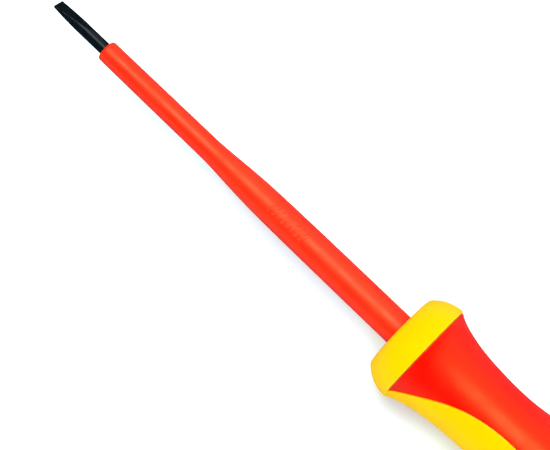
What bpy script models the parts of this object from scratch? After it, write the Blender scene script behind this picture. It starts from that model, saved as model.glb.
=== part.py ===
"""Insulated slotted screwdriver lying on its side: steel blade, insulating sleeve, two-colour handle.

Metres, +Z up. The tool's axis is parallel to X, at AXIS_HEIGHT above the surface that it lies on.
The tip points to -X, the handle's front face is at X = 0 and its butt is at +X.
Angles round the axis are counted from the top (+Z) towards +Y.
Outlines are chains of Bezier stretches in millimetres, (distance along X, radius). Each knot is
(place, handle of the stretch that arrives, handle of the stretch that leaves).
"""

import math

import bmesh
import bpy
from mathutils import Matrix, Vector

MM = 0.001
GAP = 0.3 * MM
PROUD = 3.0 * MM
ROUND_STEPS = 32
HANDLE_STEPS = 40
SHARP_ANGLE = math.radians(32.0)
MERGE_DISTANCE = 0.00001

# Blade: a round shank, drawn thinner in front, with a ground slotted tip and two wings pressed into its tang
TIP_X, TANG_END = -100.0 * MM, 72.0 * MM
NECK_RADIUS, SHANK_RADIUS = 1.42 * MM, 2.0 * MM
DRAW_FRONT, DRAW_REAR = -50.0 * MM, -40.0 * MM
TIP_THICKNESS = 0.5 * MM
TIP_FLAT_ANGLE = math.radians(7.0)
TIP_ROLL = math.radians(41.0)
GRINDER_LENGTH, GRINDER_WIDTH = 14.0 * MM, 8.0 * MM
GRINDER_OVERRUN = 2.0 * MM
WING_START, WING_END = 52.0 * MM, 62.0 * MM
WING_SPAN, WING_THICKNESS = 8.0 * MM, 1.6 * MM
WING_BEVEL = 0.4 * MM

# Sleeve: slim front, cone, full diameter, and a plain root held in the handle's collar
SLEEVE_ROOT = 12.0 * MM
SLEEVE_FRONT = -85.7 * MM
SLEEVE_OUTLINE = (
    ((-85.7, 1.95), (-85.7, 1.95), (-85.7, 2.2)),
    ((-85.0, 2.42), (-85.4, 2.40), (-75.0, 2.46)),
    ((-55.0, 2.54), (-65.0, 2.51), (-50.5, 2.60)),
    ((-36.5, 3.43), (-45.5, 3.31), (-27.0, 3.56)),
    ((0.0, 3.6), (-12.0, 3.6), (0.0, 3.6)),
)
SLEEVE_STEPS = (2, 2, 8, 4)
SLEEVE_REAR_RADIUS = 3.6 * MM

# Handle: crowned face, domed collar, flare, waist, swell, tail, rounded butt
HANDLE_OUTLINE = (
    ((0.0, 6.5), (0.0, 6.5), (0.0, 8.1)),
    ((0.6, 9.3), (0.15, 8.8), (2.3, 11.05)),
    ((6.9, 11.95), (4.7, 11.95), (9.8, 10.4)),
    ((27.0, 8.78), (15.0, 8.85), (38.0, 8.78)),
    ((62.0, 13.1), (50.0, 13.1), (74.0, 13.1)),
    ((91.0, 11.8), (84.0, 12.6), (96.0, 11.2)),
    ((100.0, 7.4), (100.0, 9.8), (100.0, 7.4)),
)
BODY_STEPS = (2, 6, 7, 7, 5)
CAP_STEPS = 6
COLLAR_REAR, CAP_SEAM, BUTT_X = 6.9 * MM, 91.0 * MM, 100.0 * MM
FLAT_COUNT = 6
FLAT_HEIGHT = 12.15 * MM
AXIS_HEIGHT = FLAT_HEIGHT

# Soft grip: let into the body from the collar to GRIP_END, open along a leaf-shaped window on the -Y side.
# Along the flare and the waist it lies a little lower than the body's leaf, and at the swell level with it.
GRIP_START, GRIP_END = COLLAR_REAR + GAP, 88.0 * MM
GRIP_OUTLINE = (
    ((6.9, 11.95), (6.9, 11.95), (9.5, 10.0)),
    ((27.0, 8.3), (14.5, 8.35), (38.0, 8.3)),
    ((62.0, 13.1), (50.0, 13.1), (74.0, 13.1)),
    ((91.0, 11.8), (84.0, 12.6), (91.0, 11.8)),
)
GRIP_DEPTH = 1.6 * MM
GRIP_COLUMNS = 26
GRIP_STATIONS = 20
WINDOW_MIDDLE = -math.pi / 2.0
# The window's half width in degrees, against the distance along X
WINDOW_OUTLINE = (
    ((6.9, 19.5), (6.9, 19.5), (14.5, 34.0)),
    ((34.0, 76.0), (18.5, 76.0), (52.0, 76.0)),
    ((91.0, 50.0), (78.0, 58.0), (91.0, 50.0)),
)

# Core: a hard rod moulded round the tang, thin through the waist and thick in the swell
CORE_FRONT, CORE_REAR = SLEEVE_ROOT + GAP, 84.0 * MM
CORE_WAIST_RADIUS, CORE_SWELL_RADIUS = 4.6 * MM, 7.0 * MM
CORE_FLARE_START, CORE_FLARE_END = 40.0 * MM, 48.0 * MM

# Cap inlay: a flat disc let into the butt
INLAY_RADIUS, INLAY_DEPTH = 5.6 * MM, 1.2 * MM


def clear_scene():
    for obj in list(bpy.data.objects):
        bpy.data.objects.remove(obj)


def new_collection(name):
    collection = bpy.data.collections.new(name)
    bpy.context.scene.collection.children.link(collection)
    return collection


def new_material(name, colour, roughness, metallic=0.0):
    material = bpy.data.materials.new(name)
    material.use_nodes = True
    shader = material.node_tree.nodes["Principled BSDF"]
    shader.inputs["Base Color"].default_value = (*colour, 1.0)
    shader.inputs["Roughness"].default_value = roughness
    shader.inputs["Metallic"].default_value = metallic
    return material


def add_object(name, mesh, collection):
    """Every object has its origin on the tool's axis, at the handle's front face."""
    obj = bpy.data.objects.new(name, mesh)
    obj.location = (0.0, 0.0, AXIS_HEIGHT)
    collection.objects.link(obj)
    return obj


def mesh_from(name, made):
    mesh = bpy.data.meshes.new(name)
    made.to_mesh(mesh)
    made.free()
    return mesh


def finish_part(obj, material):
    obj.data.materials.append(material)
    obj.data.shade_smooth()
    obj.data.set_sharp_from_angle(angle=SHARP_ANGLE)


def mark_cutter(obj):
    obj.hide_render = True
    obj.display_type = "WIRE"
    return obj


def boolean(obj, operation, other):
    modifier = obj.modifiers.new(f"{operation.lower()} {other.name}", "BOOLEAN")
    modifier.operation = operation
    modifier.object = other


def bezier(start, leaving, arriving, end, share):
    left = 1.0 - share
    weights = (left**3, 3.0 * left**2 * share, 3.0 * left * share**2, share**3)
    return sum((Vector(p) * w for p, w in zip((start, leaving, arriving, end), weights)), Vector((0.0, 0.0)))


def stretches(outline):
    """The four points of each Bezier stretch of an outline."""
    return [(a[0], a[2], b[1], b[0]) for a, b in zip(outline, outline[1:])]


def outline_points(outline, steps):
    """Points along an outline as (x, radius) in metres, with steps[i] of them in the i-th stretch."""
    points = [Vector(outline[0][0]) * MM]
    for stretch, count in zip(stretches(outline), steps):
        points += [bezier(*stretch, (i + 1) / count) * MM for i in range(count)]
    return [tuple(point) for point in points]


def outline_value(outline, x):
    """An outline's second coordinate at that X in metres, in the outline's own unit."""
    wanted = x / MM
    stretch = next((s for s in stretches(outline) if wanted <= s[3][0]), stretches(outline)[-1])
    low, high = 0.0, 1.0
    for _ in range(40):
        share = (low + high) / 2.0
        if bezier(*stretch, share).x < wanted:
            low = share
        else:
            high = share
    return bezier(*stretch, low).y


def turned(name, profile, collection, steps=ROUND_STEPS, ring=False):
    """Turn a profile of (x, radius) about the tool's axis. It runs tip to butt along its outer side."""
    mesh = bpy.data.meshes.new(name)
    count = len(profile)
    edges = [(i, (i + 1) % count) for i in range(count if ring else count - 1)]
    mesh.from_pydata([(radius, 0.0, -x) for x, radius in profile], edges, [])
    obj = add_object(name, mesh, collection)
    obj.rotation_euler.y = -math.pi / 2.0
    screw = obj.modifiers.new("turn", "SCREW")
    screw.steps = steps
    screw.render_steps = steps
    screw.use_merge_vertices = True
    screw.merge_threshold = MERGE_DISTANCE
    return obj


def box(name, size, centre, collection):
    made = bmesh.new()
    bmesh.ops.create_cube(made, size=1.0)
    bmesh.ops.scale(made, vec=size, verts=made.verts)
    bmesh.ops.translate(made, vec=centre, verts=made.verts)
    return add_object(name, mesh_from(name, made), collection)


def wing_block(name, grow, collection):
    """The tang's two wings as one block, which lies in the plane of the ground tip."""
    size = (WING_END - WING_START + 2.0 * grow, WING_SPAN + 2.0 * grow, WING_THICKNESS + 2.0 * grow)
    block = box(name, size, ((WING_START + WING_END) / 2.0, 0.0, 0.0), collection)
    block.rotation_euler.x = -TIP_ROLL
    return mark_cutter(block)


def tip_grinders(cutters):
    """Two blocks that grind the tip's flats, each leaning back from its own side of the tip's edge."""
    grinders = []
    for name, side in (("tip_grinder_upper", 1.0), ("tip_grinder_lower", -1.0)):
        size = (GRINDER_LENGTH, GRINDER_WIDTH, GRINDER_WIDTH)
        centre = (GRINDER_LENGTH / 2.0 - GRINDER_OVERRUN, 0.0, side * GRINDER_WIDTH / 2.0)
        grinder = box(name, size, centre, cutters)
        lean = Matrix.Rotation(-side * TIP_FLAT_ANGLE, 4, "Y")
        edge = Matrix.Translation((TIP_X, 0.0, side * TIP_THICKNESS / 2.0))
        grinder.data.transform(edge @ lean)
        grinder.rotation_euler.x = -TIP_ROLL
        grinders.append(mark_cutter(grinder))
    return grinders


def make_blade(parts, cutters, material):
    profile = [
        (TIP_X, 0.0),
        (TIP_X, NECK_RADIUS),
        (DRAW_FRONT, NECK_RADIUS),
        (DRAW_REAR, SHANK_RADIUS),
        (TANG_END, SHANK_RADIUS),
        (TANG_END, 0.0),
    ]
    blade = turned("blade", profile, parts)
    wings = wing_block("wings", 0.0, cutters)
    bevel = wings.modifiers.new("wing corners", "BEVEL")
    bevel.width = WING_BEVEL
    boolean(blade, "UNION", wings)
    for grinder in tip_grinders(cutters):
        boolean(blade, "DIFFERENCE", grinder)
    finish_part(blade, material)


def make_sleeve(parts, material):
    """The insulating tube, with a bore that follows the drawn shank."""
    profile = outline_points(SLEEVE_OUTLINE, SLEEVE_STEPS)
    profile += [
        (SLEEVE_ROOT, SLEEVE_REAR_RADIUS),
        (SLEEVE_ROOT, SHANK_RADIUS + GAP),
        (DRAW_REAR, SHANK_RADIUS + GAP),
        (DRAW_FRONT, NECK_RADIUS + GAP),
        (SLEEVE_FRONT, NECK_RADIUS + GAP),
    ]
    finish_part(turned("insulating_sleeve", profile, parts, ring=True), material)


def make_core(parts, cutters, material):
    """The hard core, whose blind bore and pocket hold the tang and its wings."""
    profile = [
        (TANG_END + GAP, 0.0),
        (TANG_END + GAP, SHANK_RADIUS + GAP),
        (CORE_FRONT, SHANK_RADIUS + GAP),
        (CORE_FRONT, CORE_WAIST_RADIUS),
        (CORE_FLARE_START, CORE_WAIST_RADIUS),
        (CORE_FLARE_END, CORE_SWELL_RADIUS),
        (CORE_REAR, CORE_SWELL_RADIUS),
        (CORE_REAR, 0.0),
    ]
    core = turned("handle_core", profile, parts)
    boolean(core, "DIFFERENCE", wing_block("wing_pocket", GAP, cutters))
    finish_part(core, material)


def grip_section(x, inner, outer, slack):
    """A C-shaped section at that X, as its outer arc's points and its inner arc's points."""
    half_window = math.radians(outline_value(WINDOW_OUTLINE, x)) - slack / outer
    first = WINDOW_MIDDLE + half_window
    sweep = 2.0 * (math.pi - half_window)
    angles = [first + sweep * i / GRIP_COLUMNS for i in range(GRIP_COLUMNS + 1)]
    return [[(x, r * math.sin(a), r * math.cos(a)) for a in angles] for r in (outer, inner)]


def grip_solid(name, collection, slack=0.0, proud=0.0):
    """Sections skinned into the soft grip. With slack and proud, the pocket that the grip lies in."""
    made = bmesh.new()
    start, end = GRIP_START - slack, GRIP_END + slack
    rows = []
    for i in range(GRIP_STATIONS + 1):
        # Closer together along the flare than along the swell
        x = start + (end - start) * (i / GRIP_STATIONS) ** 1.5
        radius = outline_value(GRIP_OUTLINE, x) * MM
        outer, inner = grip_section(x, radius - GRIP_DEPTH - slack, radius + proud, slack)
        rows.append([made.verts.new(point) for point in outer + inner[::-1]])
    count = len(rows[0])
    for row, following in zip(rows, rows[1:]):
        for i in range(count):
            j = (i + 1) % count
            made.faces.new((row[i], row[j], following[j], following[i]))
    for row in (rows[0], rows[-1]):
        for i in range(GRIP_COLUMNS):
            made.faces.new((row[i], row[i + 1], row[count - i - 2], row[count - i - 1]))
    bmesh.ops.recalc_face_normals(made, faces=made.faces)
    return add_object(name, mesh_from(name, made), collection)


def flats_prism(cutters):
    """A hexagonal bar round the whole tool, standing on a flat. What the swell has outside it is cut flat."""
    made = bmesh.new()
    corner_radius = FLAT_HEIGHT / math.cos(math.pi / FLAT_COUNT)
    bmesh.ops.create_cone(
        made,
        cap_ends=True,
        segments=FLAT_COUNT,
        radius1=corner_radius,
        radius2=corner_radius,
        depth=4.0 * BUTT_X,
        matrix=Matrix.Rotation(math.pi / 2.0, 4, "Y"),
    )
    return mark_cutter(add_object("flats_prism", mesh_from("flats_prism", made), cutters))


def make_body(parts, cutters, prism, material):
    """The hard yellow body: collar, window leaf, and the seats of the sleeve, core, grip and cap."""
    sleeve_bore = SLEEVE_REAR_RADIUS + GAP
    waist_bore = CORE_WAIST_RADIUS + GAP
    swell_bore = CORE_SWELL_RADIUS + GAP
    profile = [(0.0, sleeve_bore)] + outline_points(HANDLE_OUTLINE, BODY_STEPS)
    profile += [
        (CAP_SEAM, swell_bore),
        (CORE_FLARE_END, swell_bore),
        (CORE_FLARE_START, waist_bore),
        (SLEEVE_ROOT, waist_bore),
        (SLEEVE_ROOT, sleeve_bore),
    ]
    body = turned("handle_body", profile, parts, HANDLE_STEPS, ring=True)
    boolean(body, "INTERSECT", prism)
    boolean(body, "DIFFERENCE", mark_cutter(grip_solid("grip_pocket", cutters, GAP, PROUD)))
    finish_part(body, material)


def make_grip(parts, prism, material):
    grip = grip_solid("grip_cover", parts)
    boolean(grip, "INTERSECT", prism)
    finish_part(grip, material)


def make_cap(parts, material):
    """The butt's cap: a spigot in the body's bore, a dome, and a round recess for the inlay."""
    last = stretches(HANDLE_OUTLINE)[-1]
    dome = [bezier(*last, i / CAP_STEPS) * MM for i in range(1, CAP_STEPS + 1)]
    front = CAP_SEAM + GAP
    recess = BUTT_X - INLAY_DEPTH
    profile = [(CORE_REAR + GAP, 0.0), (CORE_REAR + GAP, CORE_SWELL_RADIUS), (front, CORE_SWELL_RADIUS)]
    profile += [(front, outline_value(HANDLE_OUTLINE, front) * MM)] + [tuple(point) for point in dome]
    profile += [(BUTT_X, INLAY_RADIUS + GAP), (recess, INLAY_RADIUS + GAP), (recess, 0.0)]
    finish_part(turned("end_cap", profile, parts, HANDLE_STEPS), material)


def make_inlay(parts, material):
    seat = BUTT_X - INLAY_DEPTH + GAP
    profile = [(seat, 0.0), (seat, INLAY_RADIUS), (BUTT_X, INLAY_RADIUS), (BUTT_X, 0.0)]
    finish_part(turned("cap_inlay", profile, parts), material)


def main():
    clear_scene()
    parts = new_collection("insulated_screwdriver")
    cutters = new_collection("cutters")

    black_steel = new_material("black_steel", (0.012, 0.014, 0.018), 0.35, 0.8)
    sleeve_red = new_material("sleeve_red", (0.90, 0.06, 0.02), 0.45)
    hard_yellow = new_material("hard_yellow", (0.98, 0.72, 0.01), 0.42)
    soft_red = new_material("soft_red", (0.86, 0.035, 0.012), 0.55)
    core_plastic = new_material("core_plastic", (0.75, 0.70, 0.58), 0.6)
    hard_red = new_material("hard_red", (0.80, 0.03, 0.01), 0.4)

    prism = flats_prism(cutters)
    make_blade(parts, cutters, black_steel)
    make_sleeve(parts, sleeve_red)
    make_core(parts, cutters, core_plastic)
    make_body(parts, cutters, prism, hard_yellow)
    make_grip(parts, prism, soft_red)
    make_cap(parts, hard_yellow)
    make_inlay(parts, hard_red)


main()
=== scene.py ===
"""Looks for the insulated screwdriver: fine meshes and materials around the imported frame, and a studio.

The tool lies along X with its tip at -X. Shapes are written in millimetres: a distance along X from the
handle's front face, and a radius. Angles round the axis are counted from the top (+Z) towards +Y.
Outlines are chains of Bezier stretches. Each knot is (place, handle of the stretch that arrives, handle of
the stretch that leaves).
"""
import math

import bmesh
import bpy
from mathutils import Matrix, Vector


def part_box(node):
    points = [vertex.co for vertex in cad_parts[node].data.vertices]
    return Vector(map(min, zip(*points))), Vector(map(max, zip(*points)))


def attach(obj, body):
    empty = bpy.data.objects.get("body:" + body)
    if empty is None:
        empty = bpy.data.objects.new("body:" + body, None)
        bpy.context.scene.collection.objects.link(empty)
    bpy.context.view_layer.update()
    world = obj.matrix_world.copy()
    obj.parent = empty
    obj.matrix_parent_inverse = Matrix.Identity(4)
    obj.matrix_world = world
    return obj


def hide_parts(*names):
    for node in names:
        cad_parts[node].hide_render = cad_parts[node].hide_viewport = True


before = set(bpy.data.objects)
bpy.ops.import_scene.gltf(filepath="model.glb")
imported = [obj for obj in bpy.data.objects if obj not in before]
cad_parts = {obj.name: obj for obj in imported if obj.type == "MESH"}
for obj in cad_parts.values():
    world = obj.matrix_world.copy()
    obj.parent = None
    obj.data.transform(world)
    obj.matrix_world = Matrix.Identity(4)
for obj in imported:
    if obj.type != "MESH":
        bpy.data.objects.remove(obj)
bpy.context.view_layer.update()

MM = 0.001
QUARTER_TURN, HALF_TURN, FULL_TURN = math.pi / 2.0, math.pi, 2.0 * math.pi

# Places, read from the frame
BLADE_LOW, BLADE_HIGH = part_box("blade")
SLEEVE_LOW, SLEEVE_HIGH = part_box("insulating_sleeve")
BODY_LOW, BODY_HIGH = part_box("handle_body")
GRIP_LOW, GRIP_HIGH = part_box("grip_cover")
CAP_LOW, CAP_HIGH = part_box("end_cap")
INLAY_LOW, INLAY_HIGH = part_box("cap_inlay")
FACE_X = BODY_LOW.x
AXIS_Z = (SLEEVE_LOW.z + SLEEVE_HIGH.z) / 2.0


def along(x):
    """A world X in metres, as millimetres from the handle's front face."""
    return (x - FACE_X) / MM


TIP, TANG_END = along(BLADE_LOW.x), along(BLADE_HIGH.x)
SLEEVE_FRONT, SLEEVE_ROOT = along(SLEEVE_LOW.x), along(SLEEVE_HIGH.x)
GRIP_END, CAP_SEAM = along(GRIP_HIGH.x), along(BODY_HIGH.x)
CAP_FRONT, BUTT = along(CAP_LOW.x), along(CAP_HIGH.x)
INLAY_SEAT = along(INLAY_LOW.x)
INLAY_RADIUS = (INLAY_HIGH.z - INLAY_LOW.z) / 2.0 / MM
SWELL_RADIUS = GRIP_HIGH.y / MM
FLAT_HEIGHT = (AXIS_Z - GRIP_LOW.z) / MM

# Pieces that touch on the real tool are drawn this far apart
JOINT_GAP = 0.05
# A step from one radius to another is drawn over this length
STEP_LENGTH = 0.01
# Rows this far past a rounded edge keep the flat face beside it flat in its shading
FLAT_GUARD = 0.03
# Points closer than this are one point
MERGE_DISTANCE = 0.002
# Edges that turn more than this look sharp, on the moulded pieces and on the ground blade
MOULDED_CREASE, GROUND_CREASE = math.radians(38.0), math.radians(30.0)
# Each point of a mesh keeps, under this name, how sharply the surface turns outwards there, in radians
CONVEXITY = "convexity"
# Wear begins where the surface turns as sharply as the first of these, and is full from the second on
WEAR_FROM, WEAR_FULL = 0.15, 0.40
# The middle of a noise's range, where most of it lies
NOISE_LOW, NOISE_HIGH = 0.3, 0.7
# The least sine or cosine that a length is divided by
LEAST_SINE = 0.001
# Steps along one Bezier stretch, points along a rounded edge, and halvings in the search along a curve
CURVE_STEPS, ROUNDING_POINTS, HALVINGS = 24, 5, 34


# ---------------------------------------------------------------- curves


def bezier(start, leaving, arriving, end, share):
    left = 1.0 - share
    weights = (left**3, 3.0 * left**2 * share, 3.0 * left * share**2, share**3)
    return tuple(sum(w * p[i] for w, p in zip(weights, (start, leaving, arriving, end))) for i in (0, 1))


def stretches(outline):
    """The four points of each Bezier stretch of an outline."""
    return [(a[0], a[2], b[1], b[0]) for a, b in zip(outline, outline[1:])]


def outline_points(outline):
    """Points along an outline, with the same number of them in each stretch."""
    points = [outline[0][0]]
    for stretch in stretches(outline):
        points += [bezier(*stretch, (i + 1) / CURVE_STEPS) for i in range(CURVE_STEPS)]
    return points


def outline_value(outline, x):
    """An outline's second coordinate at that distance along X."""
    stretch = next((s for s in stretches(outline) if x <= s[3][0]), stretches(outline)[-1])
    low, high = 0.0, 1.0
    for _ in range(HALVINGS):
        share = (low + high) / 2.0
        if bezier(*stretch, share)[0] < x:
            low = share
        else:
            high = share
    return bezier(*stretch, low)[1]


def spread(low, high, count):
    """Evenly spaced values from low to high, both included."""
    return [low + (high - low) * i / (count - 1) for i in range(count)]


def paced(low, high, pitch):
    """Even steps from low to high, at most pitch long, without low itself."""
    return spread(low, high, 1 + math.ceil((high - low) / pitch))[1:]


def full_circle(count):
    return [FULL_TURN * i / count for i in range(count)]


def smooth_step(value, low, high):
    """A smooth rise from 0 at low to 1 at high."""
    share = min(1.0, max(0.0, (value - low) / (high - low)))
    return share * share * (3.0 - 2.0 * share)


def soft_min(a, b, width):
    """The smaller of two values, with a rounded change from one to the other."""
    share = max(width - abs(a - b), 0.0) / width
    return min(a, b) - share * share * width / 4.0


def rounding(radius):
    """A quarter circle from an end face to a side, as (distance from the end, distance below the side)."""
    turns = spread(0.0, QUARTER_TURN, ROUNDING_POINTS)
    return [(radius * (1.0 - math.cos(turn)), radius * (1.0 - math.sin(turn))) for turn in turns]


# ---------------------------------------------------------------- mesh tools


def place(x, angle, radius):
    """A point in metres, from millimetres along the axis, an angle round it and a radius."""
    return Vector((FACE_X + x * MM, radius * MM * math.sin(angle), AXIS_Z + radius * MM * math.cos(angle)))


def circle(x, radius, count):
    return [place(x, angle, radius) for angle in full_circle(count)]


def add_object(name, data):
    made = bpy.data.objects.new(name, data)
    bpy.context.scene.collection.objects.link(made)
    return made


def skin(name, rows, ring=False, crease=MOULDED_CREASE):
    """A closed mesh over rows of points. A ring's last row meets its first; else both ends are capped."""
    made = bmesh.new()
    lines = [[made.verts.new(point) for point in row] for row in rows]
    count = len(lines[0])
    pairs = list(zip(lines, lines[1:]))
    if ring:
        pairs.append((lines[-1], lines[0]))
    for line, following in pairs:
        for i in range(count):
            j = (i + 1) % count
            made.faces.new((line[i], line[j], following[j], following[i]))
    if not ring:
        made.faces.new(lines[0])
        made.faces.new(lines[-1])
    bmesh.ops.remove_doubles(made, verts=made.verts, dist=MERGE_DISTANCE * MM)
    bmesh.ops.recalc_face_normals(made, faces=made.faces)
    convexity = made.verts.layers.float.new(CONVEXITY)
    for point in made.verts:
        point[convexity] = max(edge.calc_face_angle_signed(0.0) for edge in point.link_edges)
    mesh = bpy.data.meshes.new(name)
    made.to_mesh(mesh)
    made.free()
    mesh.shade_smooth()
    mesh.set_sharp_from_angle(angle=crease)
    return add_object(name, mesh)


def finish_piece(piece, material, node):
    piece.data.materials.append(material)
    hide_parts(node)
    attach(piece, "root")


# ---------------------------------------------------------------- material tools


class Nodes:
    """A material's node tree, with short calls for the few kinds of node used here."""

    def __init__(self, name):
        self.material = bpy.data.materials.new(name)
        self.material.use_nodes = True
        self.tree = self.material.node_tree
        self.shader = self.tree.nodes["Principled BSDF"]
        self.where = self.node("ShaderNodeTexCoord", {}).outputs["Object"]

    def feed(self, value, socket):
        """Give a socket another node's output, or a plain value."""
        if isinstance(value, bpy.types.NodeSocket):
            self.tree.links.new(value, socket)
        else:
            socket.default_value = value

    def node(self, kind, inputs):
        made = self.tree.nodes.new(kind)
        for key, value in inputs.items():
            self.feed(value, made.inputs[key])
        return made

    def shade(self, **values):
        """Feed the shader's sockets: Base_Color stands for Base Color, and so on."""
        for key, value in values.items():
            self.feed(value, self.shader.inputs[key.replace("_", " ")])

    def noise(self, scale, detail=3.0, stretch=(1.0, 1.0, 1.0)):
        where = self.node("ShaderNodeMapping", {"Vector": self.where, "Scale": stretch}).outputs["Vector"]
        inputs = {"Vector": where, "Scale": scale, "Detail": detail}
        return self.node("ShaderNodeTexNoise", inputs).outputs["Fac"]

    def ramp(self, source, stops):
        """Colour stops as (position, (red, green, blue)), or grey stops as (position, grey)."""
        node = self.node("ShaderNodeValToRGB", {"Fac": source})
        for element, (position, value) in zip(node.color_ramp.elements, stops):
            element.position = position
            element.color = (*value, 1.0) if isinstance(value, tuple) else (value, value, value, 1.0)
        return node.outputs["Color"]

    def spans(self, noise, low, high):
        """Map the middle of a noise's range to low..high."""
        reach = {"From Min": NOISE_LOW, "From Max": NOISE_HIGH, "To Min": low, "To Max": high}
        return self.node("ShaderNodeMapRange", {"Value": noise, **reach}).outputs["Result"]

    def mix(self, share, first, second):
        node = self.tree.nodes.new("ShaderNodeMix")
        node.data_type = "RGBA"
        sockets = [socket for socket in node.inputs if socket.enabled]
        for value, socket in zip((share, first, second), sockets):
            self.feed(value, socket)
        return next(socket for socket in node.outputs if socket.enabled)

    def maths(self, operation, first, second):
        node = self.node("ShaderNodeMath", {0: first, 1: second})
        node.operation = operation
        return node.outputs[0]

    def convex_edges(self):
        """White where the surface turns sharply outwards, as hands and benches rub there."""
        turn = self.node("ShaderNodeAttribute", {})
        turn.attribute_name = CONVEXITY
        return self.ramp(turn.outputs["Fac"], [(WEAR_FROM, 0.0), (WEAR_FULL, 1.0)])

    def bump(self, layers):
        """Bumps from (height, strength, depth in millimetres), one on another."""
        normal = None
        for height, strength, depth in layers:
            inputs = {"Height": height, "Strength": strength, "Distance": depth * MM}
            node = self.node("ShaderNodeBump", inputs)
            if normal:
                self.feed(normal, node.inputs["Normal"])
            normal = node.outputs["Normal"]
        self.shade(Normal=normal)


# ---------------------------------------------------------------- materials

# Noise scales of the moulded plastics, per metre, from the slow waves of colour to the pigment specks
CLOUD_SCALE, WAVE_SCALE, SHEEN_SCALE, RUB_SCALE, SPECK_SCALE = 60.0, 170.0, 240.0, 700.0, 2600.0
# The most that a speck takes from the darker colour
SPECK_SHARE = 0.22
# Bump strengths and a depth in millimetres
WAVE_STRENGTH, WAVE_DEPTH, GRAIN_STRENGTH = 0.5, 0.12, 0.6
# Noise scales of the steel, and how its two kinds of scratches are stretched, along X and across it
FINISH_SCALE, DRAWN_SCALE, GROUND_SCALE, BARE_SCALE = 500.0, 900.0, 1600.0, 1300.0
DRAWN_STRETCH, GROUND_STRETCH = (0.06, 1.0, 1.0), (1.0, 0.08, 0.08)
BLACKENED_DARK, BLACKENED_LIGHT = (0.0006, 0.002, 0.0035), (0.002, 0.0045, 0.0065)
BARE_STEEL = (0.045, 0.047, 0.05)
SCRATCH_STRENGTH, FINISH_STRENGTH, STEEL_DEPTH = 0.12, 0.08, 0.012


def moulded_plastic(name, light, dark, worn, roughness, grain_scale, grain_depth):
    """Moulded plastic: cloudy colour, pigment specks, fine grain, uneven sheen and patchily worn edges."""
    made = Nodes(name)
    clouds = made.ramp(made.noise(CLOUD_SCALE), [(NOISE_LOW, dark), (NOISE_HIGH, light)])
    specks = made.ramp(made.noise(SPECK_SCALE, detail=2.0), [(0.35, 0.0), (0.75, SPECK_SHARE)])
    speckled = made.mix(specks, clouds, (*dark, 1.0))
    broken = made.ramp(made.noise(RUB_SCALE, detail=4.0), [(0.40, 0.0), (0.65, 1.0)])
    rubbed = made.maths("MULTIPLY", made.convex_edges(), broken)
    made.shade(Base_Color=made.mix(rubbed, speckled, (*worn, 1.0)))
    made.shade(Roughness=made.spans(made.noise(SHEEN_SCALE, detail=5.0), *roughness))
    waves = (made.noise(WAVE_SCALE, detail=2.0), WAVE_STRENGTH, WAVE_DEPTH)
    grain = (made.noise(grain_scale, detail=2.0), GRAIN_STRENGTH, grain_depth)
    made.bump([waves, grain])
    return made


def sleeve_plastic():
    made = moulded_plastic(
        "sleeve_plastic",
        light=(0.71, 0.014, 0.001),
        dark=(0.66, 0.009, 0.001),
        worn=(0.80, 0.09, 0.03),
        roughness=(0.37, 0.50),
        grain_scale=3400.0,
        grain_depth=0.03,
    )
    made.shade(Specular_IOR_Level=0.45, Specular_Tint=(1.0, 0.72, 0.32, 1.0))
    return made.material


def body_plastic():
    made = moulded_plastic(
        "body_plastic",
        light=(0.82, 0.44, 0.0),
        dark=(0.77, 0.40, 0.0),
        worn=(0.83, 0.47, 0.025),
        roughness=(0.38, 0.48),
        grain_scale=3200.0,
        grain_depth=0.03,
    )
    made.shade(Specular_IOR_Level=0.06, Specular_Tint=(1.0, 0.95, 0.1, 1.0))
    return made.material


def grip_rubber():
    made = moulded_plastic(
        "grip_rubber",
        light=(0.71, 0.0004, 0.0),
        dark=(0.66, 0.0003, 0.0),
        worn=(0.78, 0.05, 0.02),
        roughness=(0.33, 0.45),
        grain_scale=2600.0,
        grain_depth=0.05,
    )
    made.shade(Specular_IOR_Level=0.34, Specular_Tint=(1.0, 0.8, 0.2, 1.0))
    return made.material


def core_plastic():
    made = moulded_plastic(
        "core_plastic",
        light=(0.76, 0.71, 0.59),
        dark=(0.68, 0.63, 0.51),
        worn=(0.80, 0.76, 0.66),
        roughness=(0.50, 0.62),
        grain_scale=3200.0,
        grain_depth=0.02,
    )
    return made.material


def inlay_plastic():
    made = moulded_plastic(
        "inlay_plastic",
        light=(0.70, 0.004, 0.0005),
        dark=(0.65, 0.003, 0.0005),
        worn=(0.78, 0.05, 0.02),
        roughness=(0.36, 0.48),
        grain_scale=4200.0,
        grain_depth=0.02,
    )
    made.shade(Specular_IOR_Level=0.3, Specular_Tint=(1.0, 0.75, 0.3, 1.0))
    return made.material


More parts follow.
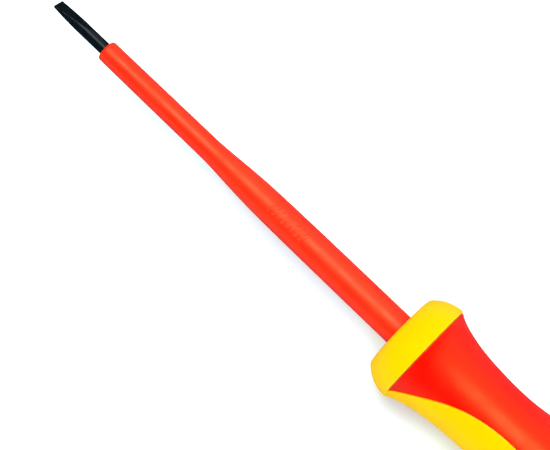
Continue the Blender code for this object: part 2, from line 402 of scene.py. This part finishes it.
def blackened_steel():
    """Blackened steel: scratches along the shank, grinding marks across the flats, and worn edges."""
    made = Nodes("blackened_steel")
    clouds = made.noise(FINISH_SCALE, detail=5.0)
    finish = made.ramp(clouds, [(NOISE_LOW, BLACKENED_DARK), (NOISE_HIGH, BLACKENED_LIGHT)])
    drawn = made.noise(DRAWN_SCALE, stretch=DRAWN_STRETCH)
    ground = made.noise(GROUND_SCALE, stretch=GROUND_STRETCH)
    x = made.node("ShaderNodeSeparateXYZ", {"Vector": made.where}).outputs["X"]
    on_shank = made.maths("GREATER_THAN", x, FACE_X + (TIP + FLAT_LENGTH) * MM)
    scratches = made.mix(on_shank, ground, drawn)
    broken = made.ramp(made.noise(BARE_SCALE, detail=4.0), [(0.45, 0.0), (0.62, 1.0)])
    bare = made.maths("MULTIPLY", made.convex_edges(), broken)
    made.shade(Base_Color=made.mix(bare, finish, (*BARE_STEEL, 1.0)))
    made.shade(Roughness=made.spans(scratches, 0.18, 0.32), Specular_IOR_Level=0.12)
    made.bump([(scratches, SCRATCH_STRENGTH, STEEL_DEPTH), (clouds, FINISH_STRENGTH, STEEL_DEPTH)])
    return made.material


# ---------------------------------------------------------------- blade

NECK_RADIUS, SHANK_RADIUS = 1.42, 2.0
DRAW_FRONT, DRAW_REAR = -50.0, -40.0
TIP_HALF_THICKNESS = 0.25
TIP_FLAT_SLOPE = math.tan(math.radians(7.0))
FLAT_LENGTH = (NECK_RADIUS - TIP_HALF_THICKNESS) / TIP_FLAT_SLOPE
TIP_ROLL = math.radians(41.0)
TIP_CORNER = 0.06
NARROWEST_FLAT = math.radians(24.0)
WING_START, WING_END = 52.0, 62.0
WING_HALF_SPAN, WING_HALF_THICKNESS, WING_CORNER = 4.0, 0.8, 0.3
FACE_COLUMNS = 25
GROUND_MARGIN = 2.0
GROUND_END = TIP + FLAT_LENGTH + GROUND_MARGIN
GROUND_PITCH, SHANK_PITCH = 0.3, 10.0


def shank_radius(x):
    drawn = (x - DRAW_FRONT) / (DRAW_REAR - DRAW_FRONT)
    return NECK_RADIUS + (SHANK_RADIUS - NECK_RADIUS) * min(1.0, max(0.0, drawn))


def wing_radius(x, angle):
    """The wings' block in polar form, or nothing away from them."""
    if not WING_START <= x <= WING_END:
        return 0.0
    across, up = max(abs(math.sin(angle)), LEAST_SINE), max(abs(math.cos(angle)), LEAST_SINE)
    return soft_min(WING_HALF_SPAN / across, WING_HALF_THICKNESS / up, WING_CORNER)


def blade_row(x, inset=0.0):
    """A row of the blade, half of whose columns lie on the ground flats, the others on the round sides."""
    radius = shank_radius(x) - inset
    half = TIP_HALF_THICKNESS + TIP_FLAT_SLOPE * (x - TIP) - inset
    flat_angle = max(math.acos(min(1.0, half / radius)), NARROWEST_FLAT)
    edge = math.tan(flat_angle)
    flat = [math.atan(edge * math.sin(QUARTER_TURN * share)) for share in spread(-1.0, 1.0, FACE_COLUMNS)]
    side = spread(flat_angle, HALF_TURN - flat_angle, FACE_COLUMNS)[1:-1]
    row = []
    for angle in flat + side + [HALF_TURN + a for a in flat + side]:
        across = max(abs(math.cos(angle)), LEAST_SINE)
        ground = soft_min(radius, half / across, TIP_CORNER)
        row.append(place(x, angle + TIP_ROLL, max(ground, wing_radius(x, angle))))
    return row


def make_blade(material):
    stations = paced(TIP + TIP_CORNER, GROUND_END, GROUND_PITCH)
    stations += paced(GROUND_END, DRAW_FRONT, SHANK_PITCH) + [DRAW_REAR, WING_START - STEP_LENGTH]
    stations += [WING_START, WING_END, WING_END + STEP_LENGTH]
    rows = [blade_row(TIP + x, inset) for x, inset in rounding(TIP_CORNER)]
    rows += [blade_row(x) for x in stations]
    rows += [blade_row(TANG_END - x, inset) for x, inset in reversed(rounding(TIP_CORNER))]
    finish_piece(skin("blade_steel_rod", rows, crease=GROUND_CREASE), material, "blade")


# ---------------------------------------------------------------- sleeve

SLEEVE_REAR_RADIUS = 3.6
SLEEVE_NOSE = SLEEVE_FRONT + 0.7
CONE_START = -55.0
SLEEVE_OUTLINE = (
    ((SLEEVE_FRONT, 1.75), (SLEEVE_FRONT, 1.75), (SLEEVE_FRONT, 2.17)),
    ((SLEEVE_NOSE, 2.42), (SLEEVE_FRONT + 0.25, 2.40), (-75.0, 2.46)),
    ((CONE_START, 2.54), (-65.0, 2.51), (-50.5, 2.60)),
    ((-36.5, 3.43), (-45.5, 3.31), (-27.0, 3.56)),
    ((0.0, SLEEVE_REAR_RADIUS), (-12.0, SLEEVE_REAR_RADIUS), (0.0, SLEEVE_REAR_RADIUS)),
)
SLEEVE_COLUMNS = 160
TUBE_PITCH, CONE_PITCH, MARK_ROW_PITCH = 1.5, 0.6, 0.1
BORE_LEAD = 0.2

# Moulded marks: a row of plain slanted ribs
MARK_START, MARK_COUNT, MARK_PITCH = -36.3, 8, 1.28
MARK_HALF_WIDTH, MARK_HALF_HEIGHT = 0.30, 1.2
MARK_MIDDLE = math.radians(-3.0)
MARK_LEAN = 0.35
MARK_RELIEF = 0.10
MARK_EDGE = 0.16
MARK_REACH = MARK_HALF_WIDTH + MARK_EDGE + MARK_LEAN * (MARK_HALF_HEIGHT + MARK_EDGE)
MARK_LOW, MARK_HIGH = MARK_START - MARK_REACH, MARK_START + (MARK_COUNT - 1) * MARK_PITCH + MARK_REACH


def mark_relief(x, angle, radius):
    """Height of the moulded marks above the sleeve."""
    height = ((angle - MARK_MIDDLE + HALF_TURN) % FULL_TURN - HALF_TURN) * radius
    ends = 1.0 - smooth_step(abs(height), MARK_HALF_HEIGHT - MARK_EDGE, MARK_HALF_HEIGHT + MARK_EDGE)
    nearest = round((x - MARK_LEAN * height - MARK_START) / MARK_PITCH)
    middle = MARK_START + min(max(nearest, 0), MARK_COUNT - 1) * MARK_PITCH + MARK_LEAN * height
    side = 1.0 - smooth_step(abs(x - middle), MARK_HALF_WIDTH - MARK_EDGE, MARK_HALF_WIDTH + MARK_EDGE)
    return MARK_RELIEF * side * ends


def sleeve_row(x):
    radius = outline_value(SLEEVE_OUTLINE, min(x, 0.0))
    return [place(x, a, radius + mark_relief(x, a, radius)) for a in full_circle(SLEEVE_COLUMNS)]


def make_sleeve(material):
    nose = outline_points(SLEEVE_OUTLINE[:2])
    stations = paced(SLEEVE_NOSE, CONE_START, TUBE_PITCH)
    stations += paced(CONE_START, MARK_LOW, CONE_PITCH)
    stations += paced(MARK_LOW, MARK_HIGH, MARK_ROW_PITCH)
    stations += paced(MARK_HIGH, 0.0, TUBE_PITCH) + [SLEEVE_ROOT]
    bore = [
        (SLEEVE_ROOT, SHANK_RADIUS + JOINT_GAP),
        (DRAW_REAR, SHANK_RADIUS + JOINT_GAP),
        (DRAW_FRONT, NECK_RADIUS + JOINT_GAP),
        (SLEEVE_FRONT + BORE_LEAD, NECK_RADIUS + JOINT_GAP),
        (SLEEVE_FRONT, NECK_RADIUS + JOINT_GAP + BORE_LEAD / 2.0),
    ]
    rows = [circle(x, radius, SLEEVE_COLUMNS) for x, radius in nose]
    rows += [sleeve_row(x) for x in stations]
    rows += [circle(x, radius, SLEEVE_COLUMNS) for x, radius in bore]
    finish_piece(skin("sleeve_tube", rows, ring=True), material, "insulating_sleeve")


# ---------------------------------------------------------------- handle

COLLAR_REAR = 6.9
COLLAR_RADIUS = 11.95
HANDLE_OUTLINE = (
    ((0.0, 6.5), (0.0, 6.5), (0.0, 8.1)),
    ((0.6, 9.3), (0.15, 8.8), (2.3, 11.05)),
    ((COLLAR_REAR, COLLAR_RADIUS), (4.7, COLLAR_RADIUS), (9.8, 10.4)),
    ((27.0, 8.78), (15.0, 8.85), (38.0, 8.78)),
    ((62.0, SWELL_RADIUS), (50.0, SWELL_RADIUS), (74.0, SWELL_RADIUS)),
    ((CAP_SEAM, 11.8), (84.0, 12.6), (96.0, 11.2)),
    ((BUTT, 7.4), (BUTT, 9.8), (BUTT, 7.4)),
)
# Along the flare and the waist the grip lies a little lower than the body's leaf
GRIP_OUTLINE = (
    ((COLLAR_REAR, COLLAR_RADIUS), (COLLAR_REAR, COLLAR_RADIUS), (9.5, 10.0)),
    ((27.0, 8.3), (14.5, 8.35), (38.0, 8.3)),
    ((62.0, SWELL_RADIUS), (50.0, SWELL_RADIUS), (74.0, SWELL_RADIUS)),
    ((CAP_SEAM, 11.8), (84.0, 12.6), (CAP_SEAM, 11.8)),
)
# The window's half width in degrees
WINDOW_OUTLINE = (
    ((COLLAR_REAR, 19.5), (COLLAR_REAR, 19.5), (14.5, 34.0)),
    ((34.0, 76.0), (18.5, 76.0), (52.0, 76.0)),
    ((CAP_SEAM, 50.0), (78.0, 58.0), (CAP_SEAM, 50.0)),
)
WINDOW_MIDDLE = -QUARTER_TURN
WINDOW_COLUMNS, COVER_COLUMNS = 61, 121
FLAT_COUNT, FLATS_FROM = 6, 34.0
FLAT_SOFTNESS = 0.35
GRIP_DEPTH = 1.6
GRIP_STEP = 0.14
GRIP_STEP_LENGTH = 5.0
GRIP_GAP = 0.1
COLLAR_LIP, GRIP_LIP, LEAF_LIP, CAP_LIP = 0.25, 0.2, 0.12, 0.2
LEAF_LIP_RUN = 1.5
HANDLE_STATIONS, STATION_BIAS, REAR_ROWS = 120, 1.3, 6
BORE_LIP = 0.12
SWELL_BORE, WAIST_BORE = 7.1, 4.7
CORE_FLARE_START, CORE_FLARE_END = 40.0, 48.0


def with_flats(outline, x, angle):
    """An outline's radius, lowered where the swell has its six flats."""
    radius = outline_value(outline, x)
    if x < FLATS_FROM:
        return radius
    step = FULL_TURN / FLAT_COUNT
    from_flat = (angle + step / 2.0) % step - step / 2.0
    return soft_min(radius, FLAT_HEIGHT / math.cos(from_flat), FLAT_SOFTNESS)


def handle_stations(low, high):
    """Distances along X, closer together along the flare than along the swell."""
    return [low + (high - low) * share**STATION_BIAS for share in spread(0.0, 1.0, HANDLE_STATIONS + 1)[1:]]


def window_half_angle(x):
    return math.radians(outline_value(WINDOW_OUTLINE, max(x, COLLAR_REAR)))


def body_columns(x):
    """A body row's columns, as (angle, drop at the leaf's edge), for the window and for the grip's seat."""
    half = window_half_angle(x)
    mean = outline_value(HANDLE_OUTLINE, max(x, COLLAR_REAR))
    share = smooth_step(x, COLLAR_REAR, COLLAR_REAR + LEAF_LIP_RUN) if x <= GRIP_END else 0.0
    edge = [(half - away / mean, drop * share) for away, drop in rounding(LEAF_LIP)]
    middle = [(a, 0.0) for a in spread(-edge[-1][0], edge[-1][0], WINDOW_COLUMNS)[1:-1]]
    window = [(-a, drop) for a, drop in edge] + middle + list(reversed(edge))
    seat = [(a, 0.0) for a in spread(half, FULL_TURN - half, COVER_COLUMNS)]
    return [[(WINDOW_MIDDLE + a, drop) for a, drop in columns] for columns in (window, seat)]


def round_row(x, radius, columns_at):
    """A plain circle with the columns that the body has at columns_at."""
    window, seat = body_columns(columns_at)
    return [place(x, a, radius) for a, _ in window + seat]


def body_row(x, lowered=0.0, seat_depth=0.0):
    """A row of the hard body. The grip's seat lies seat_depth below the grip's own surface."""
    window, seat = body_columns(x)
    row = [place(x, a, with_flats(HANDLE_OUTLINE, x, a) - lowered - drop) for a, drop in window]
    seat_outline = GRIP_OUTLINE if seat_depth else HANDLE_OUTLINE
    return row + [place(x, a, with_flats(seat_outline, x, a) - lowered - seat_depth) for a, _ in seat]


def collar_edge_row(back, drop):
    """The collar's rear edge, rounded along the grip and running on into the leaf."""
    window, seat = body_columns(COLLAR_REAR)
    radius = outline_value(HANDLE_OUTLINE, COLLAR_REAR - back)
    row = [place(COLLAR_REAR - back, a, radius) for a, _ in window]
    return row + [place(COLLAR_REAR - back, a, radius - drop) for a, _ in seat]


def make_body(material):
    """Collar, window leaf, the seat that the grip lies in, and the bores."""
    seat = GRIP_DEPTH + JOINT_GAP
    sleeve_bore = SLEEVE_REAR_RADIUS + JOINT_GAP
    collar = [point for point in outline_points(HANDLE_OUTLINE[:3]) if point[0] < COLLAR_REAR - COLLAR_LIP]
    seated = [COLLAR_REAR + STEP_LENGTH] + handle_stations(COLLAR_REAR, GRIP_END)
    rows = [round_row(x, radius, COLLAR_REAR) for x, radius in collar]
    rows += [collar_edge_row(back, drop) for back, drop in reversed(rounding(COLLAR_LIP))]
    rows += [body_row(x, seat_depth=seat) for x in seated]
    rows += [body_row(x) for x in spread(GRIP_END + JOINT_GAP, CAP_SEAM - CAP_LIP, REAR_ROWS)[:-1]]
    rows += [body_row(CAP_SEAM - back, drop) for back, drop in reversed(rounding(CAP_LIP))]
    swell_bore = [(CAP_SEAM, SWELL_BORE), (CORE_FLARE_END, SWELL_BORE)]
    waist_bore = [(CORE_FLARE_START, WAIST_BORE), (SLEEVE_ROOT, WAIST_BORE)]
    rows += [round_row(x, radius, CAP_SEAM) for x, radius in swell_bore]
    rows += [round_row(x, radius, COLLAR_REAR) for x, radius in waist_bore]
    rows.append(round_row(SLEEVE_ROOT, sleeve_bore, COLLAR_REAR))
    rows += [round_row(back, sleeve_bore + out, COLLAR_REAR) for out, back in rounding(BORE_LIP)]
    rows.append(round_row(0.0, sleeve_bore + BORE_LIP + FLAT_GUARD, COLLAR_REAR))
    finish_piece(skin("handle_body_yellow", rows, ring=True), material, "handle_body")


def grip_row(x, sink):
    """A C-shaped row of the grip with rounded outer corners, sink below its outline."""
    mean = outline_value(GRIP_OUTLINE, x)
    first = window_half_angle(x) + GRIP_GAP / mean
    last = FULL_TURN - first
    corner = GRIP_LIP / mean
    start = [(first + away / mean, drop) for away, drop in rounding(GRIP_LIP)]
    middle = [(angle, 0.0) for angle in spread(first + corner, last - corner, COVER_COLUMNS)[1:-1]]
    end = [(last - away / mean, drop) for away, drop in reversed(rounding(GRIP_LIP))]
    columns = [(WINDOW_MIDDLE + angle, drop) for angle, drop in start + middle + end]
    outer = [place(x, a, with_flats(GRIP_OUTLINE, x, a) - sink - drop) for a, drop in columns]
    inner = [place(x, a, with_flats(GRIP_OUTLINE, x, a) - GRIP_DEPTH) for a, _ in reversed(columns)]
    return outer + inner


def make_grip(material):
    """The soft cover, which starts a small step below the collar."""
    start, end = COLLAR_REAR + GRIP_GAP, GRIP_END - GRIP_GAP
    near, far = start + GRIP_LIP, end - GRIP_LIP
    rows = [grip_row(start + away, GRIP_STEP + drop) for away, drop in rounding(GRIP_LIP)]
    for x in handle_stations(near, far):
        rows.append(grip_row(x, GRIP_STEP * (1.0 - smooth_step(x, near, near + GRIP_STEP_LENGTH))))
    rows += [grip_row(end - back, drop) for back, drop in reversed(rounding(GRIP_LIP)[:-1])]
    finish_piece(skin("grip_cover_red", rows), material, "grip_cover")


# ---------------------------------------------------------------- cap and inlay

CAP_COLUMNS = 144
SPIGOT_RADIUS, SPIGOT_CHAMFER = 7.05, 0.3
RECESS_RADIUS = INLAY_RADIUS + 0.12
RECESS_EDGE = 0.2
INLAY_RIM = 0.25
RIM_WIDTH, RIM_STEP = 1.2, 0.18
SLOT_HALF_LENGTH, SLOT_HALF_WIDTH, SLOT_DEPTH, SLOT_EDGE = 3.1, 0.6, 0.45, 0.12


def make_cap(material):
    """The butt's cap: a spigot, a dome with a rounded front edge, and a round recess for the inlay."""
    front = CAP_SEAM + JOINT_GAP
    edge = outline_value(HANDLE_OUTLINE, front + CAP_LIP)
    seat = INLAY_SEAT - JOINT_GAP
    profile = [(CAP_FRONT, SPIGOT_RADIUS - SPIGOT_CHAMFER), (CAP_FRONT + SPIGOT_CHAMFER, SPIGOT_RADIUS)]
    profile.append((front, SPIGOT_RADIUS))
    profile += [(front + back, edge - drop) for back, drop in rounding(CAP_LIP)]
    profile += [point for point in outline_points(HANDLE_OUTLINE[-2:]) if point[0] > front + CAP_LIP]
    profile.append((BUTT, RECESS_RADIUS + RECESS_EDGE + FLAT_GUARD))
    profile += [(BUTT - down, RECESS_RADIUS + out) for out, down in reversed(rounding(RECESS_EDGE))]
    profile.append((seat, RECESS_RADIUS))
    rows = [circle(x, radius, CAP_COLUMNS) for x, radius in profile]
    finish_piece(skin("end_cap_yellow", rows), material, "end_cap")


def slot_row(x, grown):
    """A row along the round-ended outline of the inlay's slot, grown by that much."""
    radius, straight = SLOT_HALF_WIDTH + grown, SLOT_HALF_LENGTH - SLOT_HALF_WIDTH
    row = []
    for angle in full_circle(CAP_COLUMNS):
        across = radius * math.sin(angle) + math.copysign(straight, math.sin(angle))
        up = radius * math.cos(angle)
        row.append(place(x, math.atan2(across, up), math.hypot(across, up)))
    return row


def make_inlay(material):
    """A disc with a rim, a dished face, and a slot in it, which is the sign for a slotted tip."""
    face = BUTT - JOINT_GAP
    dish = face - RIM_STEP
    wall = INLAY_RADIUS - RIM_WIDTH
    profile = [(INLAY_SEAT, INLAY_RADIUS)]
    profile += [(face - down, INLAY_RADIUS - inwards) for inwards, down in rounding(INLAY_RIM)]
    profile += [(face, INLAY_RADIUS - INLAY_RIM - FLAT_GUARD), (face, wall + RIM_STEP + FLAT_GUARD)]
    profile += [(face - down, wall + out) for out, down in reversed(rounding(RIM_STEP))]
    rows = [circle(x, radius, CAP_COLUMNS) for x, radius in profile]
    rows.append(slot_row(dish, SLOT_EDGE + FLAT_GUARD))
    rows += [slot_row(dish - down, out) for out, down in reversed(rounding(SLOT_EDGE))]
    rows.append(slot_row(dish - SLOT_DEPTH, 0.0))
    finish_piece(skin("cap_inlay_disc", rows), material, "cap_inlay")


# ---------------------------------------------------------------- studio

# The camera's place and the point that it looks at, in metres from the axis at the handle's front face
CAMERA_PLACE = Vector((17.0, -55.2, 446.6)) * MM
CAMERA_AIM = Vector((-33.89, -2.04, 0.0)) * MM
CAMERA_TURN = math.radians(44.15)
LENS, SENSOR, CLIP_START = 142.1, 36.0, 10.0
# In metres
FLOOR_HALF_SIDE, BACKDROP_RADIUS = 0.7, 1.6
BACKDROP_SEGMENTS = 48
FLOOR_DARK, FLOOR_LIGHT = (0.61, 0.76, 0.80), (0.65, 0.80, 0.84)
FLOOR_GLOW = 0.25
WORLD_LIGHT = 0.12
WHITE, COOL_WHITE = (1.0, 1.0, 1.0), (0.80, 0.92, 1.0)


def make_camera():
    """Above the tool, looking down at it, turned so that the tool runs from upper left to lower right."""
    data = bpy.data.cameras.new("photo_camera")
    data.lens = LENS
    data.sensor_width = SENSOR
    data.clip_start = CLIP_START * MM
    camera = add_object("photo_camera", data)
    origin = Vector((FACE_X, 0.0, AXIS_Z))
    forward = (CAMERA_AIM - CAMERA_PLACE).normalized()
    right = Vector((math.cos(CAMERA_TURN), math.sin(CAMERA_TURN), 0.0))
    right = (right - forward * right.dot(forward)).normalized()
    turn = Matrix((right, right.cross(forward), -forward)).transposed().to_4x4()
    camera.matrix_world = Matrix.Translation(origin + CAMERA_PLACE) @ turn
    bpy.context.scene.camera = camera


def floor_material():
    made = Nodes("pale_floor")
    tones = made.ramp(made.noise(30.0), [(NOISE_LOW, FLOOR_DARK), (NOISE_HIGH, FLOOR_LIGHT)])
    made.shade(Base_Color=tones)
    made.shade(Roughness=made.spans(made.noise(400.0), 0.70, 0.85), Specular_IOR_Level=0.1)
    made.shade(Emission_Color=(*WHITE, 1.0), Emission_Strength=FLOOR_GLOW)
    return made.material


def make_floor():
    """An overexposed white table, as in a catalogue studio."""
    made = bmesh.new()
    bmesh.ops.create_grid(made, x_segments=1, y_segments=1, size=FLOOR_HALF_SIDE)
    mesh = bpy.data.meshes.new("studio_floor")
    made.to_mesh(mesh)
    made.free()
    floor = add_object("studio_floor", mesh)
    floor.visible_glossy = False
    mesh.materials.append(floor_material())


def backdrop_material():
    made = Nodes("white_backdrop")
    made.shade(Base_Color=(0.0, 0.0, 0.0, 1.0), Specular_IOR_Level=0.0)
    made.shade(Emission_Color=(*WHITE, 1.0), Emission_Strength=1.0)
    return made.material


def make_backdrop():
    """A white dome, which low views see behind the table. It neither lights the tool nor is reflected."""
    made = bmesh.new()
    bmesh.ops.create_uvsphere(
        made, u_segments=BACKDROP_SEGMENTS, v_segments=BACKDROP_SEGMENTS, radius=BACKDROP_RADIUS
    )
    mesh = bpy.data.meshes.new("studio_backdrop")
    made.to_mesh(mesh)
    made.free()
    backdrop = add_object("studio_backdrop", mesh)
    backdrop.visible_diffuse = False
    backdrop.visible_glossy = False
    backdrop.visible_shadow = False
    mesh.materials.append(backdrop_material())


def softbox(name, stand, size, power, colour=WHITE, reflected=True):
    """A soft light turned towards the tool's axis, in metres and watts. Its size is (along X, across)."""
    data = bpy.data.lights.new(name, "AREA")
    data.shape = "RECTANGLE"
    data.size, data.size_y = size
    data.energy = power
    data.color = colour
    light = add_object(name, data)
    light.location = stand
    light.rotation_euler.x = -math.atan2(light.location.y, light.location.z)
    light.visible_camera = False
    light.visible_glossy = reflected


def make_lights():
    """A key above the tool, a broad bank on its far side, and two fills that add no reflections."""
    softbox("softbox_key", (-0.12, 0.12, 0.86), (0.7, 0.4), 7.5)
    softbox("softbox_bank", (0.1, 0.62, 0.62), (1.6, 1.2), 9.3)
    softbox("softbox_low", (-0.1, -0.9, 0.15), (0.8, 0.4), 8.5, colour=COOL_WHITE, reflected=False)
    softbox("softbox_ceiling", (-0.1, 0.0, 1.0), (1.4, 1.4), 6.0, reflected=False)


def make_world():
    world = bpy.data.worlds.new("studio_world")
    world.use_nodes = True
    background = world.node_tree.nodes["Background"]
    background.inputs["Color"].default_value = (*COOL_WHITE, 1.0)
    background.inputs["Strength"].default_value = WORLD_LIGHT
    bpy.context.scene.world = world


# ---------------------------------------------------------------- the scene

make_camera()
make_world()
make_lights()
make_floor()
make_backdrop()
bpy.context.scene.view_settings.view_transform = "Standard"

yellow = body_plastic()
make_blade(blackened_steel())
make_sleeve(sleeve_plastic())
make_body(yellow)
make_grip(grip_rubber())
make_cap(yellow)
make_inlay(inlay_plastic())

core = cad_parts["handle_core"]
core.data.materials.clear()
core.data.materials.append(core_plastic())
